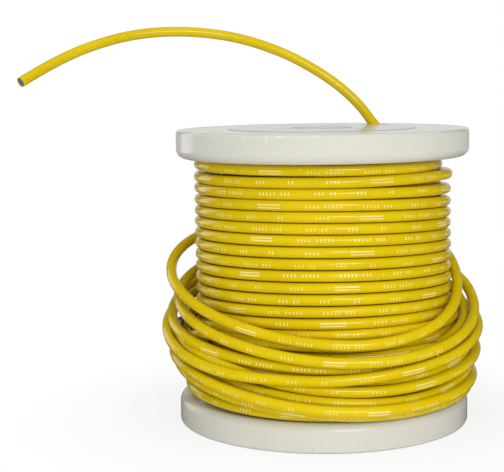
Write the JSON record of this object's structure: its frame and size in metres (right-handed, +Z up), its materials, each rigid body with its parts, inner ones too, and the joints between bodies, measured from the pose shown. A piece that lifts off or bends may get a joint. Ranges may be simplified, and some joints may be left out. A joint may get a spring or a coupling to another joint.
{
  "type": "spool of brake line tubing",
  "caption": "Yellow brake line tubing wound on an ivory plastic spool, its lower turns sprung loose and its free end arching up out of the top flange.",
  "frame": {"origin": "centre of the spool's lower face, where it stands on the floor", "axes": "+Z up the spool's axis, +X to the right seen from the front, +Y towards the back, where the free end leaves the top flange"},
  "size_m": [0.3201, 0.224, 0.2733],
  "materials": {
    "spool_plastic": "smooth natural moulded plastic, slightly glossy",
    "label_paper": "bare coated paper",
    "tubing_jacket": "glossy yellow jacket with plain white marks"
  },
  "bodies": {
    "root": {"spool": "spool_plastic", "hub_label": "label_paper", "tubing_coil": "tubing_jacket", "tubing_end": "tubing_jacket"}
  },
  "joints": []
}
